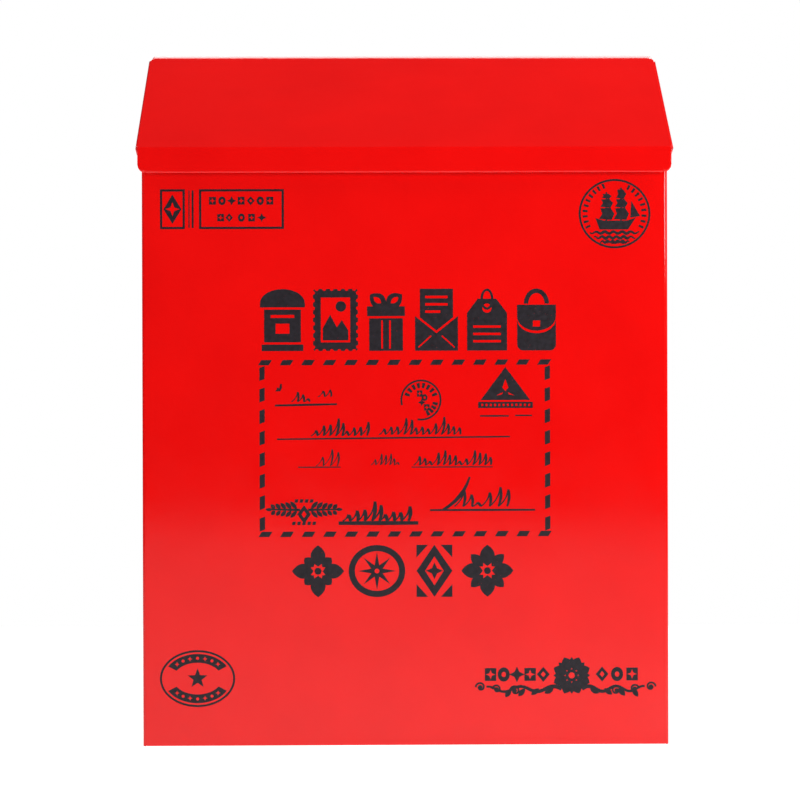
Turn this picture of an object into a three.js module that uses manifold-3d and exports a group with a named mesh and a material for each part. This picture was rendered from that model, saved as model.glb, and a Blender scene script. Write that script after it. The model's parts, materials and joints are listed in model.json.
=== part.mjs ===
// A wall-mounted sheet-steel mailbox: a folded box with a sloping rain lid over a mail slot, and a locking
// door in its underside. Millimetres, +Z up, -Y the front. Everything is first placed in the wall frame, whose
// y = 0 is the wall and z = 0 the lower edge of the box, and the whole is then moved forward so that the origin
// is at the middle of the footprint.
import * as THREE from "three";
import { mergeVertices } from "three/addons/utils/BufferGeometryUtils.js";
import Module from "manifold-3d";

const wasm = await Module();
wasm.setup();

// ---------------------------------------------------------------- driving dimensions
const BODY_WIDTH = 259;
const BODY_DEPTH = 80;
const TOTAL_HEIGHT = 350;
const LID_WIDTH = 264.4;
const LID_SLOPE = THREE.MathUtils.degToRad(35.1);
const LIP_HEIGHT = 12.5;
const LIP_STANDOFF = 3.4; // the lid's lip stands this far ahead of the front wall
const SHEET = 0.6;
const WELD_GAP = 0.1; // between two sheets that are spot-welded face to face
const FIT_GAP = 0.3; // between pieces that only meet

const TOTAL_DEPTH = BODY_DEPTH + LIP_STANDOFF;
const HALF_BODY = BODY_WIDTH / 2;
const HALF_LID = LID_WIDTH / 2;
const FRONT_Y = -BODY_DEPTH;
const INNER_X = HALF_BODY - SHEET;
const INNER_FRONT_Y = FRONT_Y + SHEET;
const BACK_INNER_Y = -SHEET;

// Body details
const HEM_HEIGHT = 6; // the lower edges are folded back on themselves
const HEM_SHEET = 2 * SHEET + WELD_GAP;
const BEND_RADIUS = 1.8; // outside radius of the two upright bends
const BEND_STEPS = 5;
const REAR_FLANGE = 12;
const EDGE_UNDER_LID = 0.6; // how far the top edges lie below the lid sheet

// Hinges: rolled strip hinges, the same section above and below
const BARREL_RADIUS = 2;
const LEAF_SHEET = 0.7;
const PIN_RADIUS = 1;
const LEAF_WIDTH = 14;
const KNUCKLES = 7;
const KNUCKLE_GAP = 0.5;
const BARREL_SIDES = 16;
const LID_HINGE_LENGTH = 220;
const DOOR_HINGE_LENGTH = 180;
const PLATE_CLEAR = BARREL_RADIUS + 0.25; // from a hinge axis to the sheet welded on its leaf
const AXIS_INSET = PLATE_CLEAR + SHEET + 0.15; // from the wall to a hinge axis
const PLATE_PAST_AXIS = 0.9; // how far a hinged sheet reaches beyond its axis
const AXIS_Y = -AXIS_INSET;
const BACK_EDGE_CLEAR = 1.6; // from a hinge axis to the edge of the back panel
const LID_SWEEP = 1.5; // the body's rear corners are notched this far in front of the lid's axis

// Lid details
const LID_TOP = PLATE_CLEAR + SHEET; // the lid's outer face, from the axis
const LID_AXIS_Z = TOTAL_HEIGHT - PLATE_PAST_AXIS * Math.sin(LID_SLOPE) - LID_TOP * Math.cos(LID_SLOPE);
const LIP_INSET = 1; // from a side flange's outer face to the lip's end
const LIP_HALF_WIDTH = HALF_LID - LIP_INSET;
const LIP_CORNER = 4.2;
const LIP_HEM = 4;
const REAR_CORNER_CUT = [2.5, 4.5]; // across and along the slope
const LID_FLANGE_EAR = 0.5; // height of the flange's front end at the fold
const LID_FLANGE_BACK = 8; // the flange's full depth starts this far behind the lip
const LID_FLANGE_DROP = 3; // and this far below the fold
const LID_FLANGE_TAIL = 7; // the full depth ends this far in front of the hinge axis

// Mail slot plate
const SLOT_PLATE_DROP = 8.5; // its upper face, below the lid's underside
const SLOT_PLATE_FLANGE = 9;
const SLOT_PLATE_GAP = 0.5; // to the walls, so that its square corners clear their bends
const SLOT_HALF_LENGTH = 108;
const SLOT_WIDTH = 32;
const SLOT_CORNER = 5;
const SLOT_CENTRE = -47; // along the slope from the hinge axis
const THROAT_DEPTH = 6;

// Bottom door
const DOOR_UNDERSIDE_Z = 4.5;
const DOOR_HEM = 8;
const DOOR_SIDE_GAP = 1;
const DOOR_TOP_Z = DOOR_UNDERSIDE_Z + SHEET;
const DOOR_HEM_TOP_Z = DOOR_TOP_Z + SHEET + WELD_GAP;
const DOOR_AXIS_Z = DOOR_TOP_Z + PLATE_CLEAR;
const STOP_Z = DOOR_HEM_TOP_Z + 0.4;
const STOP_LEG = 9;
const STOP_UPRIGHT = 8;
const FRONT_STOP_UPRIGHT = 4;

// Lock: a wafer cam lock, its axis upright in the door
const LOCK_Y = -56;
const LOCK_HEAD = { radius: 8, height: 2 };
const LOCK_BARREL = { radius: 6, flat: 5, top: 15.6 };
const LOCK_BORE = 4.4;
const PLUG_RADIUS = 4.15;
const PLUG_FACE_Z = DOOR_UNDERSIDE_Z - LOCK_HEAD.height + 0.1;
const PLUG_SHOULDER_Z = LOCK_BARREL.top + 0.4;
const KEYWAY = { halfWidth: 0.7, halfHeight: 3, top: 13 };
const WAFERS = 4;
const WAFER = { halfWidth: 2.2, halfHeight: 3.5, sheet: 0.6, pitch: 2, first: 5.2, window: [1.1, 2.4] };
const CAM = { sheet: 1.5, halfWidth: 6, reach: 21, corner: 3, square: 2.5 };
const CAM_Z = PLUG_SHOULDER_Z + FIT_GAP;
const CAM_TOP_Z = CAM_Z + CAM.sheet;
const NUT = { cornerRadius: 8.6, height: 3 };
const LOCK_WASHER_RADIUS = 8.2;
const CAM_WASHER_RADIUS = 4.6;
const WASHER_SHEET = 0.6;
const STACK_GAP = 0.15; // between the pieces clamped along the lock's axis
const CAM_SCREW = { head: 3.2, headHeight: 2, shank: 1.3, hole: 1.6, slot: 0.8, slotDepth: 0.9 };
const CATCH = { halfLength: 16, z: CAM_Z - 0.5, leg: 5 }; // its upper face lies just under the turned cam

// Back panel
const KEYHOLE = { x: 85, z: 300, head: 4.5, shank: 2.3, rise: 10 };
const LOWER_HOLE = { z: 60, radius: 3.2 };

// ---------------------------------------------------------------- materials
const paint = new THREE.MeshStandardMaterial({ color: 0xe8160f, roughness: 0.22, metalness: 0 });
const steel = new THREE.MeshStandardMaterial({ color: 0xa9abad, roughness: 0.35, metalness: 1 });
const chrome = new THREE.MeshStandardMaterial({ color: 0xd6d8da, roughness: 0.15, metalness: 1 });
const brass = new THREE.MeshStandardMaterial({ color: 0xc9a24a, roughness: 0.3, metalness: 1 });

// ---------------------------------------------------------------- solids from three.js geometry
// A closed geometry, moved by an optional matrix, as a solid for joining and cutting.
function solid(geometry, matrix = new THREE.Matrix4()) {
  const bare = (geometry.index ? geometry.toNonIndexed() : geometry.clone()).applyMatrix4(matrix);
  for (const name of Object.keys(bare.attributes)) {
    if (name !== "position") bare.deleteAttribute(name);
  }
  const merged = mergeVertices(bare, 1e-4);
  return new wasm.Manifold(
    new wasm.Mesh({
      numProp: 3,
      vertProperties: merged.attributes.position.array,
      triVerts: new Uint32Array(merged.index.array),
    }),
  );
}

function geometryOf(shape) {
  const mesh = shape.getMesh();
  const geometry = new THREE.BufferGeometry();
  geometry.setAttribute("position", new THREE.BufferAttribute(new Float32Array(mesh.vertProperties), 3));
  geometry.setIndex(new THREE.BufferAttribute(new Uint32Array(mesh.triVerts), 1));
  geometry.computeVertexNormals();
  return geometry;
}

function box(x0, x1, y0, y1, z0, z1) {
  const geometry = new THREE.BoxGeometry(x1 - x0, y1 - y0, z1 - z0);
  return solid(geometry.translate((x0 + x1) / 2, (y0 + y1) / 2, (z0 + z1) / 2));
}

function extruded(shape, depth, matrix) {
  const geometry = new THREE.ExtrudeGeometry(shape, { depth, bevelEnabled: false, curveSegments: BEND_STEPS });
  return solid(geometry, matrix);
}

const outline = (points) => new THREE.Shape(points.map(([u, v]) => new THREE.Vector2(u, v)));

// A shape drawn in (y, z), running from x0 to x1.
function alongX(shape, x0, x1) {
  const turn = new THREE.Matrix4().makeBasis(
    new THREE.Vector3(0, 1, 0),
    new THREE.Vector3(0, 0, 1),
    new THREE.Vector3(1, 0, 0),
  );
  return extruded(shape, x1 - x0, turn.setPosition(x0, 0, 0));
}

// A shape drawn in (x, z), running from y0 to y1.
function alongY(shape, y0, y1) {
  const turn = new THREE.Matrix4().makeBasis(
    new THREE.Vector3(1, 0, 0),
    new THREE.Vector3(0, 0, 1),
    new THREE.Vector3(0, -1, 0),
  );
  return extruded(shape, y1 - y0, turn.setPosition(0, y1, 0));
}

// A shape drawn in (x, y), running from z0 to z1.
function alongZ(shape, z0, z1) {
  return extruded(shape, z1 - z0, new THREE.Matrix4().makeTranslation(0, 0, z0));
}

function roundedRectangle(x0, x1, y0, y1, radius) {
  const shape = new THREE.Shape();
  shape.moveTo(x0 + radius, y0);
  shape.lineTo(x1 - radius, y0);
  shape.absarc(x1 - radius, y0 + radius, radius, -Math.PI / 2, 0);
  shape.absarc(x1 - radius, y1 - radius, radius, 0, Math.PI / 2);
  shape.absarc(x0 + radius, y1 - radius, radius, Math.PI / 2, Math.PI);
  shape.absarc(x0 + radius, y0 + radius, radius, Math.PI, Math.PI * 1.5);
  shape.closePath();
  return shape;
}

// An upright cylinder about (0, y).
function upright(radius, z0, z1, sides = 32, y = 0) {
  const geometry = new THREE.CylinderGeometry(radius, radius, z1 - z0, sides).rotateX(Math.PI / 2);
  return solid(geometry.translate(0, y, (z0 + z1) / 2));
}

// A cylinder about the x axis.
function level(radius, x0, x1, sides = BARREL_SIDES) {
  const geometry = new THREE.CylinderGeometry(radius, radius, x1 - x0, sides).rotateZ(Math.PI / 2);
  return solid(geometry.translate((x0 + x1) / 2, 0, 0));
}

const join = (shapes) => shapes.reduce((sum, shape) => sum.add(shape));

// ---------------------------------------------------------------- the assembly's groups
const mailbox = new THREE.Group();
const wallFrame = new THREE.Group();
wallFrame.position.y = TOTAL_DEPTH / 2;
mailbox.add(wallFrame);

// The lid's own frame: x along the hinge, -y down the slope, z square to the lid.
const lidFrame = new THREE.Group();
lidFrame.position.set(0, AXIS_Y, LID_AXIS_Z);
lidFrame.rotation.x = LID_SLOPE;
wallFrame.add(lidFrame);

const lockFrame = new THREE.Group();
lockFrame.position.set(0, LOCK_Y, 0);
wallFrame.add(lockFrame);

function addPart(name, shape, material, frame = wallFrame) {
  const mesh = new THREE.Mesh(geometryOf(shape), material);
  mesh.name = name;
  frame.add(mesh);
  return mesh;
}

// The height, in the wall frame, of a plane parallel to the lid at a distance from the hinge axis.
function slopeHeight(y, distance) {
  return LID_AXIS_Z + (distance + (y - AXIS_Y) * Math.sin(LID_SLOPE)) / Math.cos(LID_SLOPE);
}

// ---------------------------------------------------------------- body shell
// One sheet folded into the front, the two sides and two rear flanges, with its lower edges hemmed.
function bodyShell() {
  const rear = BACK_INNER_Y - WELD_GAP;
  const past = 20; // the rear corners stay square: the outline runs past them and is cut back
  const below = -1;
  const above = TOTAL_HEIGHT + 60;
  const tube = alongZ(
    roundedRectangle(-HALF_BODY, HALF_BODY, FRONT_Y, past, BEND_RADIUS), 0, TOTAL_HEIGHT,
  ).subtract(alongZ(
    roundedRectangle(-INNER_X, INNER_X, INNER_FRONT_Y, rear - SHEET, BEND_RADIUS - SHEET), below, above,
  ));
  const hemInner = HALF_BODY - HEM_SHEET;
  const hem = box(-INNER_X - 0.2, INNER_X + 0.2, FRONT_Y + BEND_RADIUS, rear, 0, HEM_HEIGHT)
    .add(box(-INNER_X + 1, INNER_X - 1, FRONT_Y + SHEET - 0.2, rear, 0, HEM_HEIGHT))
    .subtract(box(-hemInner, hemInner, FRONT_Y + HEM_SHEET, past, below, HEM_HEIGHT + 1));
  const behind = box(-HALF_BODY - 1, HALF_BODY + 1, rear, past + 1, below, above);
  const flangeStart = HALF_BODY - REAR_FLANGE;
  const betweenFlanges = box(-flangeStart, flangeStart, rear - 2, past, below, above);
  const doorSweep = box(-hemInner, hemInner, rear - 2, past, below, DOOR_AXIS_Z + PLATE_CLEAR + FIT_GAP);
  const edge = LID_TOP - SHEET - EDGE_UNDER_LID;
  const aboveSlope = alongX(outline([
    [FRONT_Y - 5, slopeHeight(FRONT_Y - 5, edge)],
    [5, slopeHeight(5, edge)],
    [5, above],
    [FRONT_Y - 5, above],
  ]), -HALF_BODY - 1, HALF_BODY + 1);
  const lidSweep = box(
    -HALF_BODY - 1, HALF_BODY + 1, AXIS_Y - LID_SWEEP, past, LID_AXIS_Z - BACK_EDGE_CLEAR, above,
  );
  const cuts = [behind, betweenFlanges, doorSweep, aboveSlope, lidSweep];
  return cuts.reduce((sheet, cut) => sheet.subtract(cut), tube.add(hem));
}

// ---------------------------------------------------------------- back panel
// A flat sheet with two keyholes to hang the box by and a lower hole for a fixing screw.
function keyhole(x) {
  const { z, head, shank, rise } = KEYHOLE;
  const through = (r, height) => solid(
    new THREE.CylinderGeometry(r, r, 4, 24).translate(x, 0, height),
  );
  const slot = box(x - shank, x + shank, -2, 2, z, z + rise);
  return join([through(head, z), slot, through(shank, z + rise)]);
}

function backPanel() {
  const low = DOOR_AXIS_Z + BACK_EDGE_CLEAR;
  const high = LID_AXIS_Z - BACK_EDGE_CLEAR;
  const half = HALF_BODY - 0.4;
  const lowerHole = solid(
    new THREE.CylinderGeometry(LOWER_HOLE.radius, LOWER_HOLE.radius, 4, 24).translate(0, 0, LOWER_HOLE.z),
  );
  return [keyhole(-KEYHOLE.x), keyhole(KEYHOLE.x), lowerHole].reduce(
    (sheet, cut) => sheet.subtract(cut),
    box(-half, half, -SHEET, 0, low, high),
  );
}

// ---------------------------------------------------------------- mail slot plate
// A sloping plate under the lid, flanged down all round and welded in, with the mail slot through it.
function slotPlate() {
  const upper = PLATE_CLEAR - SLOT_PLATE_DROP;
  const lower = upper - SHEET;
  const half = INNER_X - SLOT_PLATE_GAP;
  const rear = AXIS_Y + BARREL_RADIUS - LEAF_SHEET - FIT_GAP;
  const front = INNER_FRONT_Y + SLOT_PLATE_GAP;
  const foot = (y) => slopeHeight(y, upper) - SLOT_PLATE_FLANGE;
  const sheet = alongX(outline([
    [rear, slopeHeight(rear, upper)],
    [front, slopeHeight(front, upper)],
    [front, foot(front)],
    [front + SHEET, foot(front)],
    [front + SHEET, slopeHeight(front + SHEET, lower)],
    [rear - SHEET, slopeHeight(rear - SHEET, lower)],
    [rear - SHEET, foot(rear)],
    [rear, foot(rear)],
  ]), -half, half);
  const sideFlange = (x0) => alongX(outline([
    [rear - 1.5, slopeHeight(rear - 1.5, upper)],
    [front + 1.5, slopeHeight(front + 1.5, upper)],
    [front + 1.5, foot(front + 1.5)],
    [rear - 1.5, foot(rear - 1.5)],
  ]), x0, x0 + SHEET);
  // The slot and its two turned-down lips, drawn in the lid's frame.
  const slope = new THREE.Matrix4().makeRotationX(LID_SLOPE).setPosition(0, AXIS_Y, LID_AXIS_Z);
  const slotLow = SLOT_CENTRE - SLOT_WIDTH / 2;
  const slotHigh = SLOT_CENTRE + SLOT_WIDTH / 2;
  const opening = extruded(
    roundedRectangle(-SLOT_HALF_LENGTH, SLOT_HALF_LENGTH, slotLow, slotHigh, SLOT_CORNER),
    4 * THROAT_DEPTH,
    slope.clone().multiply(new THREE.Matrix4().makeTranslation(0, 0, upper - 2 * THROAT_DEPTH)),
  );
  const straight = SLOT_HALF_LENGTH - SLOT_CORNER;
  const throat = (y) => solid(
    new THREE.BoxGeometry(2 * straight, SHEET, THROAT_DEPTH)
      .translate(0, y, upper - THROAT_DEPTH / 2 - SHEET / 2)
      .applyMatrix4(slope),
  );
  return join([sheet, sideFlange(-half), sideFlange(half - SHEET)])
    .subtract(opening)
    .add(throat(slotLow - SHEET / 2 + 0.05))
    .add(throat(slotHigh + SHEET / 2 - 0.05));
}

// ---------------------------------------------------------------- door stops and lock catch
// Angle strips inside the lower edge, which the closed door meets.
function sideStop(side) {
  const outer = INNER_X - WELD_GAP;
  const ends = [INNER_FRONT_Y + 1.6, AXIS_Y - 5];
  const section = [
    box(outer - STOP_LEG, outer, ends[0], ends[1], STOP_Z, STOP_Z + SHEET),
    box(outer - SHEET, outer, ends[0], ends[1], STOP_Z, STOP_Z + STOP_UPRIGHT),
  ];
  return side > 0 ? join(section) : join(section).mirror([1, 0, 0]);
}

// The same section across the front, between the side stops.
function frontStop() {
  const half = INNER_X - STOP_LEG - 2;
  const outer = INNER_FRONT_Y + WELD_GAP;
  return box(-half, half, outer, outer + STOP_LEG, STOP_Z, STOP_Z + SHEET)
    .add(box(-half, half, outer, outer + SHEET, STOP_Z, STOP_Z + FRONT_STOP_UPRIGHT));
}

// A short angle on the front wall whose ledge the lock's cam turns over.
function lockCatch() {
  const outer = INNER_FRONT_Y + WELD_GAP;
  const { halfLength, z, leg } = CATCH;
  return box(-halfLength, halfLength, outer, outer + STOP_LEG, z - SHEET, z)
    .add(box(-halfLength, halfLength, outer, outer + SHEET, z - leg, z));
}

// ---------------------------------------------------------------- strip hinges
// One leaf with its share of the rolled knuckles: the barrel lies on the x axis, and the leaf runs along -y,
// level with the top of the barrel. Even leaves take the first, third and every other knuckle.
function hingeLeaf(length, even) {
  const pitch = length / KNUCKLES;
  const leafEdge = -BARREL_RADIUS - KNUCKLE_GAP;
  const leaf = box(-length / 2, length / 2, -LEAF_WIDTH, leafEdge, BARREL_RADIUS - LEAF_SHEET, BARREL_RADIUS);
  const parts = [leaf];
  for (let i = even ? 0 : 1; i < KNUCKLES; i += 2) {
    const x0 = -length / 2 + i * pitch + KNUCKLE_GAP / 2;
    const x1 = x0 + pitch - KNUCKLE_GAP;
    parts.push(level(BARREL_RADIUS, x0, x1));
    parts.push(box(x0, x1, leafEdge - 0.1, 0, BARREL_RADIUS - LEAF_SHEET, BARREL_RADIUS - 0.02));
  }
  return join(parts).subtract(level(BARREL_RADIUS - LEAF_SHEET, -length, length));
}

function hingePin(length) {
  return level(PIN_RADIUS, -length / 2 - 1, length / 2 + 1);
}

function addHingePart(name, shape, y, z, angle, flip = false) {
  const mesh = addPart(name, shape, steel);
  mesh.position.set(0, y, z);
  mesh.rotation.set(angle, 0, flip ? Math.PI : 0, "XYZ");
  return mesh;
}

// ---------------------------------------------------------------- lid
// One sheet: the sloping top, an upright lip in front and a flange down each side, drawn in the lid's frame.
function lidCover() {
  const sin = Math.sin(LID_SLOPE);
  const cos = Math.cos(LID_SLOPE);
  const frontY = (-TOTAL_DEPTH - AXIS_Y + LID_TOP * sin) / cos;
  const down = ([y, z], by) => [y - by * sin, z - by * cos];
  const back = ([y, z], by) => [y + by * cos, z - by * sin];
  const fold = [frontY, LID_TOP];

  const [cutX, cutY] = REAR_CORNER_CUT;
  const top = alongZ(outline([
    [-HALF_LID, frontY],
    [HALF_LID, frontY],
    [HALF_LID, PLATE_PAST_AXIS - cutY],
    [HALF_LID - cutX, PLATE_PAST_AXIS],
    [-HALF_LID + cutX, PLATE_PAST_AXIS],
    [-HALF_LID, PLATE_PAST_AXIS - cutY],
  ]), LID_TOP - SHEET, LID_TOP);

  const lipFrame = new THREE.Matrix4().makeRotationX(-LID_SLOPE).setPosition(0, fold[0], fold[1]);
  const lipOutline = new THREE.Shape();
  lipOutline.moveTo(-LIP_HALF_WIDTH, 0);
  lipOutline.lineTo(-LIP_HALF_WIDTH, -LIP_HEIGHT + LIP_CORNER);
  lipOutline.absarc(-LIP_HALF_WIDTH + LIP_CORNER, -LIP_HEIGHT + LIP_CORNER, LIP_CORNER, Math.PI, Math.PI * 1.5);
  lipOutline.absarc(LIP_HALF_WIDTH - LIP_CORNER, -LIP_HEIGHT + LIP_CORNER, LIP_CORNER, -Math.PI / 2, 0);
  lipOutline.lineTo(LIP_HALF_WIDTH, 0);
  lipOutline.closePath();
  const lipSheet = alongY(lipOutline, 0, SHEET);
  const hemHalf = LIP_HALF_WIDTH - LIP_CORNER;
  const lipHem = box(-hemHalf, hemHalf, SHEET - 0.1, HEM_SHEET, -LIP_HEIGHT, -LIP_HEIGHT + LIP_HEM);
  const lip = lipSheet.add(lipHem).transform(lipFrame.toArray());

  const ear = down(fold, LID_FLANGE_EAR);
  const heel = down(back(fold, LID_FLANGE_BACK), LID_FLANGE_DROP);
  const flange = (x0) => alongX(outline([
    fold,
    ear,
    heel,
    [-LID_FLANGE_TAIL, heel[1]],
    [PLATE_PAST_AXIS - cutY, LID_TOP],
  ]), x0, x0 + SHEET);

  return join([top, lip, flange(-HALF_LID), flange(HALF_LID - SHEET)]);
}

// ---------------------------------------------------------------- bottom door
function doubleD(radius, flat, z0, z1) {
  return upright(radius, z0, z1).intersect(box(-flat, flat, -radius - 1, radius + 1, z0, z1));
}

// A flat sheet with its front and side edges folded over inside, and a flat-sided hole for the lock.
function bottomDoor() {
  const half = HALF_BODY - HEM_SHEET - DOOR_SIDE_GAP;
  const front = FRONT_Y + HEM_SHEET + DOOR_SIDE_GAP;
  const rear = AXIS_Y + PLATE_PAST_AXIS;
  const hemRear = AXIS_Y - LEAF_WIDTH;
  const low = DOOR_TOP_Z - 0.1;
  const sheet = join([
    box(-half, half, front, rear, DOOR_UNDERSIDE_Z, DOOR_TOP_Z),
    box(-half, half, front, front + DOOR_HEM, low, DOOR_HEM_TOP_Z),
    box(-half, -half + DOOR_HEM, front, hemRear, low, DOOR_HEM_TOP_Z),
    box(half - DOOR_HEM, half, front, hemRear, low, DOOR_HEM_TOP_Z),
  ]);
  const hole = doubleD(LOCK_BARREL.radius + 0.2, LOCK_BARREL.flat + 0.2, 0, 20).translate([0, LOCK_Y, 0]);
  return sheet.subtract(hole);
}

// ---------------------------------------------------------------- lock
function lockHousing() {
  const head = upright(LOCK_HEAD.radius, DOOR_UNDERSIDE_Z - LOCK_HEAD.height, DOOR_UNDERSIDE_Z - 0.05);
  const barrel = doubleD(LOCK_BARREL.radius, LOCK_BARREL.flat, DOOR_UNDERSIDE_Z - 0.5, LOCK_BARREL.top);
  return head.add(barrel).subtract(upright(LOCK_BORE, 0, 20));
}

function waferCentre(i) {
  return WAFER.first + i * WAFER.pitch;
}

function lockPlug() {
  const { square } = CAM;
  const stem = upright(PLUG_RADIUS, PLUG_FACE_Z, PLUG_SHOULDER_Z)
    .add(box(-square, square, -square, square, PLUG_SHOULDER_Z - 0.5, CAM_TOP_Z - 0.2));
  const cuts = [
    box(-KEYWAY.halfWidth, KEYWAY.halfWidth, -KEYWAY.halfHeight, KEYWAY.halfHeight, 0, KEYWAY.top),
    upright(CAM_SCREW.hole, KEYWAY.top + 0.6, CAM_TOP_Z + 1, 16),
  ];
  const slotX = WAFER.halfWidth + FIT_GAP;
  const slotZ = WAFER.sheet / 2 + FIT_GAP;
  for (let i = 0; i < WAFERS; i++) {
    const z = waferCentre(i);
    cuts.push(box(-slotX, slotX, -PLUG_RADIUS - 1, PLUG_RADIUS + 1, z - slotZ, z + slotZ));
  }
  return cuts.reduce((plug, cut) => plug.subtract(cut), stem);
}

// A thin plate across the plug, with a window that the key passes through.
function lockWafer(i) {
  const { halfWidth, halfHeight, sheet } = WAFER;
  const z = waferCentre(i);
  const plate = box(-halfWidth, halfWidth, -halfHeight, halfHeight, z - sheet / 2, z + sheet / 2);
  const [windowX, windowY] = WAFER.window;
  return plate.subtract(box(-windowX, windowX, -windowY, windowY, z - sheet, z + sheet));
}

// The cam points along +x when the lock is open, and turns to -y over the catch.
function lockCam() {
  const { halfWidth, reach, corner, square } = CAM;
  const shape = new THREE.Shape();
  shape.moveTo(0, -halfWidth);
  shape.lineTo(reach - corner, -halfWidth);
  shape.lineTo(reach, -halfWidth + corner);
  shape.lineTo(reach, halfWidth - corner);
  shape.lineTo(reach - corner, halfWidth);
  shape.lineTo(0, halfWidth);
  shape.absarc(0, 0, halfWidth, Math.PI / 2, Math.PI * 1.5);
  const hole = square + FIT_GAP;
  return alongZ(shape, CAM_Z, CAM_TOP_Z).subtract(box(-hole, hole, -hole, hole, 0, 30));
}

function camWasher() {
  const low = CAM_TOP_Z + STACK_GAP;
  const hole = upright(CAM_SCREW.shank + FIT_GAP, low - 1, low + 2, 24);
  return upright(CAM_WASHER_RADIUS, low, low + WASHER_SHEET, 24).subtract(hole);
}

function camScrew() {
  const { head: headRadius, headHeight, shank: shankRadius, slot: slotWidth, slotDepth } = CAM_SCREW;
  const under = CAM_TOP_Z + WASHER_SHEET + 2 * STACK_GAP;
  const top = under + headHeight;
  const head = upright(headRadius, under, top, 24);
  const shank = upright(shankRadius, KEYWAY.top + 1, under + 0.2, 16);
  const slot = box(-headRadius - 1, headRadius + 1, -slotWidth / 2, slotWidth / 2, top - slotDepth, top + 1);
  return head.add(shank).subtract(slot);
}

function lockWasher() {
  const low = DOOR_TOP_Z + STACK_GAP;
  const hole = upright(LOCK_BARREL.radius + FIT_GAP, low - 1, low + 2, 24);
  return upright(LOCK_WASHER_RADIUS, low, low + WASHER_SHEET, 24).subtract(hole);
}

function lockNut() {
  const low = DOOR_TOP_Z + WASHER_SHEET + 2 * STACK_GAP;
  const hole = upright(LOCK_BARREL.radius + 0.2, low - 1, low + NUT.height + 1);
  return upright(NUT.cornerRadius, low, low + NUT.height, 6).subtract(hole);
}

// ---------------------------------------------------------------- the fixed box
addPart("body_shell", bodyShell(), paint);
addPart("back_panel", backPanel(), paint);
addPart("slot_plate", slotPlate(), paint);
addPart("door_stop_left", sideStop(-1), paint);
addPart("door_stop_right", sideStop(1), paint);
addPart("door_stop_front", frontStop(), paint);
addPart("lock_catch", lockCatch(), steel);
addHingePart("lid_hinge_fixed_leaf", hingeLeaf(LID_HINGE_LENGTH, true), AXIS_Y, LID_AXIS_Z, -Math.PI / 2, true);
addHingePart("lid_hinge_pin", hingePin(LID_HINGE_LENGTH), AXIS_Y, LID_AXIS_Z, 0);
addHingePart("door_hinge_fixed_leaf", hingeLeaf(DOOR_HINGE_LENGTH, true), AXIS_Y, DOOR_AXIS_Z, -Math.PI / 2);
addHingePart("door_hinge_pin", hingePin(DOOR_HINGE_LENGTH), AXIS_Y, DOOR_AXIS_Z, 0);

// ---------------------------------------------------------------- the lid and its hinge leaf
addPart("lid_cover", lidCover(), paint, lidFrame);
addPart("lid_hinge_moving_leaf", hingeLeaf(LID_HINGE_LENGTH, false), steel, lidFrame);

// ---------------------------------------------------------------- the door with its lock
addPart("bottom_door", bottomDoor(), paint);
addHingePart("door_hinge_moving_leaf", hingeLeaf(DOOR_HINGE_LENGTH, false), AXIS_Y, DOOR_AXIS_Z, Math.PI, true);
addPart("lock_housing", lockHousing(), chrome, lockFrame);
addPart("lock_washer", lockWasher(), steel, lockFrame);
addPart("lock_nut", lockNut(), steel, lockFrame);
addPart("lock_plug", lockPlug(), chrome, lockFrame);
addPart("lock_cam", lockCam(), steel, lockFrame);
addPart("cam_washer", camWasher(), steel, lockFrame);
addPart("cam_screw", camScrew(), steel, lockFrame);
for (let i = 0; i < WAFERS; i++) {
  addPart(`lock_wafer_${i + 1}`, lockWafer(i), brass, lockFrame);
}

export default mailbox;
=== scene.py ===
"""Looks of the wall mailbox: folded red sheet steel, printed front, strip hinges and a cam lock below.
Lengths are in millimetres in the row frame, and MM turns them into Blender's metres."""
import json
import math

import bmesh
import bpy
from mathutils import Matrix, Vector


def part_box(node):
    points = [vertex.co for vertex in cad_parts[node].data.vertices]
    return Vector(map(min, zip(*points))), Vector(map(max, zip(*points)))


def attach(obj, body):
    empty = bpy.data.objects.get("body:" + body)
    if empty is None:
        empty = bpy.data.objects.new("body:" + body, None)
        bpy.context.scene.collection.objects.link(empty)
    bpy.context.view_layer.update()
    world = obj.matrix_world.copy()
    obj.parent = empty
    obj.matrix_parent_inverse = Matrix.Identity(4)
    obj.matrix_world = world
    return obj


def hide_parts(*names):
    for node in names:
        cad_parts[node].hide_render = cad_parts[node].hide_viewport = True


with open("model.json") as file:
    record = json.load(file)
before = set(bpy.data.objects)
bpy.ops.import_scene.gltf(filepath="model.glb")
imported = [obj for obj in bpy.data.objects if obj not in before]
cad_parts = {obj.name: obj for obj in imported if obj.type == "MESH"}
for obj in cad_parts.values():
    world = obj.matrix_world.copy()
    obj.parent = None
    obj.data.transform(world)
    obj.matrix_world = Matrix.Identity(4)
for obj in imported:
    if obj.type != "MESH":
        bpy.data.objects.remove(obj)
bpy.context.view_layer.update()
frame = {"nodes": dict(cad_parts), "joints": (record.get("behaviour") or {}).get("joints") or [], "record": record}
MM = 0.001


def box_mm(node):
    low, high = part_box(node)
    return low / MM, high / MM


# ------------------------------------------------------------ sizes, from the frame where it states them
BODY_LOW, BODY_HIGH = box_mm("body_shell")
LID_LOW, LID_HIGH = box_mm("lid_cover")
PANEL_LOW, PANEL_HIGH = box_mm("back_panel")
JOINT_AT = {joint["name"]: Vector(joint["pos_m"]) / MM for joint in frame["joints"]}

HALF_BODY = BODY_HIGH.x
FRONT_Y = BODY_LOW.y
WALL_Y = PANEL_HIGH.y
SHEET = 0.6
BODY_BEND = 1.8
REAR_BEND = 1.1
REAR_FLANGE = 12
HEM_RADIUS = 0.65
BODY_HEM = 6
EDGE_UNDER_LID = 1.65  # the body's top edges, from the plane through the lid's hinge axis

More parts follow.
